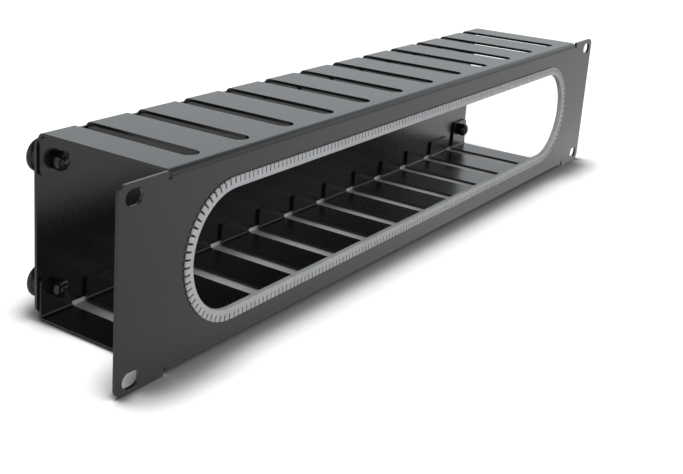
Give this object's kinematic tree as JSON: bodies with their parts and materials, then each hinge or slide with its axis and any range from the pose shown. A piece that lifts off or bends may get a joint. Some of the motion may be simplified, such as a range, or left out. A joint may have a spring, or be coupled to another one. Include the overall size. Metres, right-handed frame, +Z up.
{
  "type": "horizontal rack cable manager",
  "caption": "Rack cable manager: folded sheet channel with slotted top and bottom, oval front opening rimmed by castellated edging, and a rear cover on push-pull fasteners.",
  "frame": {"origin": "centre of the four rack screw slots, on the rear faces of the ears, which lie on the rack's rails", "axes": "+X along the rack's width, to the right when facing the panel; +Y into the rack, away from the viewer; +Z up"},
  "size_m": [0.4826, 0.0889, 0.0882],
  "materials": {
    "powder_coat": "satin",
    "edging_nylon": "matte",
    "fastener_nylon": "satin"
  },
  "bodies": {
    "manager": {"folded_body": "powder_coat", "rear_cover": "powder_coat", "edge_trim": "edging_nylon", "grommet_upper_left": "fastener_nylon", "grommet_upper_right": "fastener_nylon", "grommet_lower_left": "fastener_nylon", "grommet_lower_right": "fastener_nylon"},
    "plunger_upper_left_body": {"plunger_upper_left": "fastener_nylon"},
    "plunger_upper_right_body": {"plunger_upper_right": "fastener_nylon"},
    "plunger_lower_left_body": {"plunger_lower_left": "fastener_nylon"},
    "plunger_lower_right_body": {"plunger_lower_right": "fastener_nylon"}
  },
  "joints": [
    {"name": "plunger_upper_left_pull", "type": "slide", "parent": "manager", "child": "plunger_upper_left_body", "axis": [0, 1, 0], "range_m": [0, 0.006]},
    {"name": "plunger_upper_right_pull", "type": "slide", "parent": "manager", "child": "plunger_upper_right_body", "axis": [0, 1, 0], "range_m": [0, 0.006]},
    {"name": "plunger_lower_left_pull", "type": "slide", "parent": "manager", "child": "plunger_lower_left_body", "axis": [0, 1, 0], "range_m": [0, 0.006]},
    {"name": "plunger_lower_right_pull", "type": "slide", "parent": "manager", "child": "plunger_lower_right_body", "axis": [0, 1, 0], "range_m": [0, 0.006]}
  ]
}
